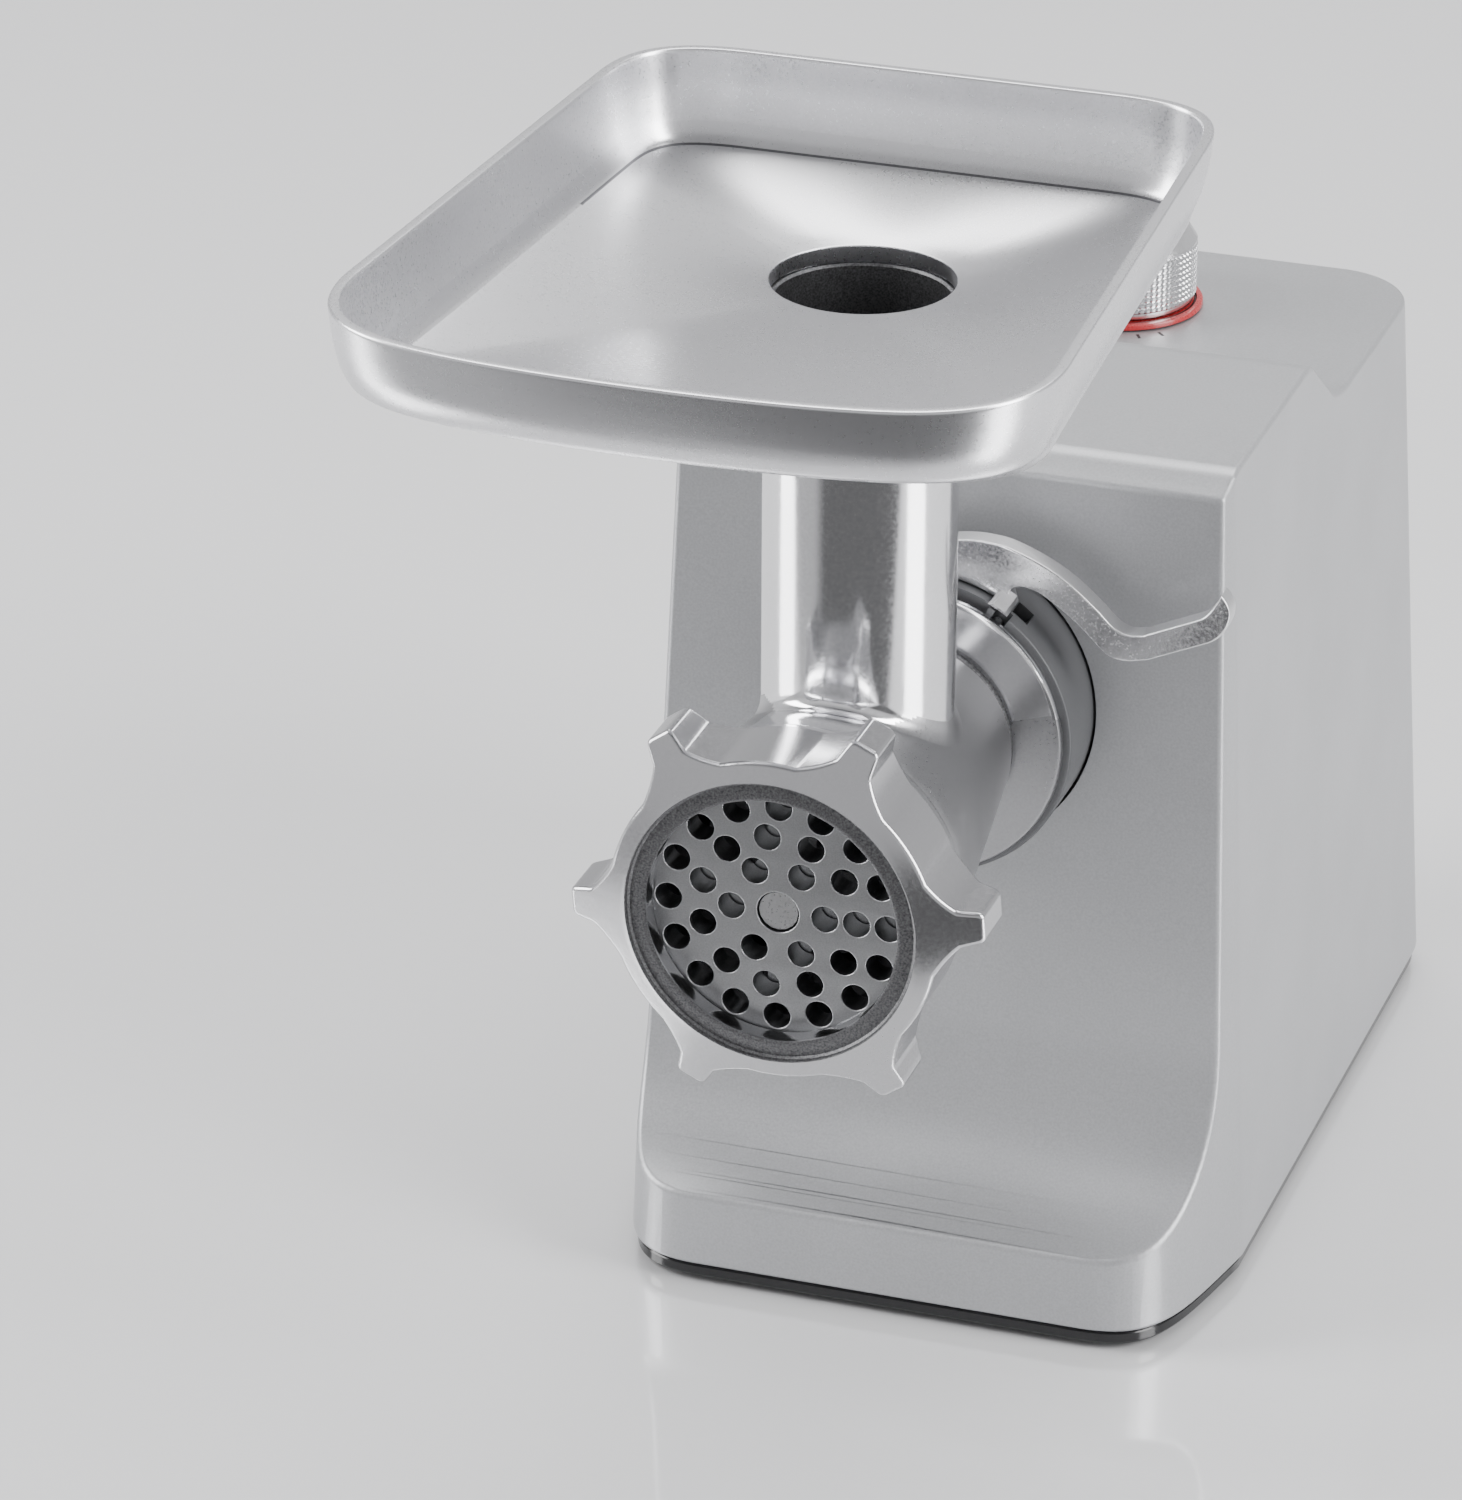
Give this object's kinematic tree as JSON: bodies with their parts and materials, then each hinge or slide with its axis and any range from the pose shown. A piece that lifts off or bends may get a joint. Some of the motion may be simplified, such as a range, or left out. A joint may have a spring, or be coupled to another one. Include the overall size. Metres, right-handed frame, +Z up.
{
  "type": "electric meat grinder",
  "caption": "Table-top electric meat grinder: silver housing with a hollowed front, cast feed head with lugged ring nut, feed tray, locking lever and top knob.",
  "frame": {"origin": "on the table, under the middle of the object's box", "axes": "+X across to the lever's side, +Y from the outlet to the back, +Z up"},
  "size_m": [0.1514, 0.402, 0.297],
  "materials": {
    "housing_paint": "satin silver paint with fine grain",
    "socket_paint": "satin grey paint",
    "cast_aluminium": "polished casting",
    "satin_aluminium": "satin casting",
    "steel": "ground and turned",
    "black_plastic": "moulded, matt",
    "rubber": "soft, matt",
    "red_plastic": "glossy",
    "nylon": "moulded nylon",
    "copper": "lacquered copper",
    "lamination": "stacked electrical steel",
    "carbon": "pressed carbon",
    "brass": "pressed brass",
    "board": "green lacquer"
  },
  "bodies": {
    "base": {"housing": "housing_paint", "base_plate": "black_plastic", "foot_front_left": "rubber", "foot_front_right": "rubber", "foot_rear_left": "rubber", "foot_rear_right": "rubber", "base_screw_1": "steel", "base_screw_2": "steel", "base_screw_3": "steel", "base_screw_4": "steel", "dock_socket": "socket_paint", "dock_screw_1": "steel", "dock_screw_2": "steel", "dock_screw_3": "steel", "knob_ring": "red_plastic", "rotary_switch": "black_plastic", "cord_gland": "black_plastic", "gearbox_housing": "satin_aluminium", "gearbox_cover": "satin_aluminium", "gearbox_screw_1": "steel", "gearbox_screw_2": "steel", "gearbox_screw_3": "steel", "output_bearing": "steel", "second_axle": "steel", "first_axle": "steel", "front_bearing": "steel", "stator_core": "lamination", "field_coil_left": "copper", "field_coil_right": "copper", "rear_bracket": "satin_aluminium", "rear_bearing": "steel", "motor_bolt_left": "steel", "motor_bolt_right": "steel", "brush_holder_left": "brass", "brush_holder_right": "brass", "carbon_brush_left": "carbon", "carbon_brush_right": "carbon", "control_board": "board", "capacitor": "red_plastic"},
    "rotor": {"motor_shaft": "steel", "armature_core": "lamination", "armature_winding": "copper", "commutator": "copper", "cooling_fan": "nylon"},
    "first_wheel": {"first_gear": "nylon"},
    "second_wheel": {"second_gear": "steel"},
    "output": {"output_shaft": "steel", "output_gear": "steel"},
    "lever": {"lock_lever": "cast_aluminium"},
    "knob": {"control_knob": "steel", "switch_spindle": "steel"},
    "head": {"feed_head": "cast_aluminium", "locating_pin": "steel", "disc_key": "steel", "grinding_disc": "steel", "auger_bush": "nylon"},
    "worm": {"auger": "cast_aluminium", "cross_knife": "steel"},
    "nut": {"ring_nut": "satin_aluminium"},
    "tray": {"food_tray": "cast_aluminium"}
  },
  "joints": [
    {"name": "motor_spin", "type": "hinge", "parent": "base", "child": "rotor", "pos_m": [0, 0.1, 0.05339], "axis": [0, 1, 0], "continuous": true},
    {"name": "first_spin", "type": "hinge", "parent": "base", "child": "first_wheel", "pos_m": [-0.01265, 0.05, 0.08709], "axis": [0, 1, 0], "continuous": true},
    {"name": "second_spin", "type": "hinge", "parent": "base", "child": "second_wheel", "pos_m": [0.024, 0.04, 0.10043], "axis": [0, 1, 0], "continuous": true},
    {"name": "output_spin", "type": "hinge", "parent": "base", "child": "output", "pos_m": [0, 0.03, 0.142], "axis": [0, 1, 0], "continuous": true},
    {"name": "auger_spin", "type": "hinge", "parent": "head", "child": "worm", "pos_m": [0, -0.06, 0.142], "axis": [0, 1, 0], "continuous": true},
    {"name": "lever_turn", "type": "hinge", "parent": "base", "child": "lever", "pos_m": [0, -0.007, 0.142], "axis": [0, -1, 0], "range_deg": [0, 35]},
    {"name": "knob_turn", "type": "hinge", "parent": "base", "child": "knob", "pos_m": [0, 0.1475, 0.1855], "axis": [0, 0, 1], "range_deg": [-45, 45]},
    {"name": "head_pull", "type": "slide", "parent": "base", "child": "head", "axis": [0, -1, 0], "range_m": [0, 0.06]},
    {"name": "nut_turn", "type": "hinge", "parent": "head", "child": "nut", "pos_m": [0, -0.105, 0.142], "axis": [0, -1, 0], "range_deg": [0, 360]},
    {"name": "tray_lift", "type": "slide", "parent": "head", "child": "tray", "axis": [0, 0, 1], "range_m": [0, 0.05]}
  ],
  "couplings": [
    {"joint": "first_spin", "follows": "motor_spin", "ratio": -0.2},
    {"joint": "second_spin", "follows": "motor_spin", "ratio": 0.06},
    {"joint": "output_spin", "follows": "motor_spin", "ratio": -0.02},
    {"joint": "auger_spin", "follows": "motor_spin", "ratio": -0.02}
  ]
}
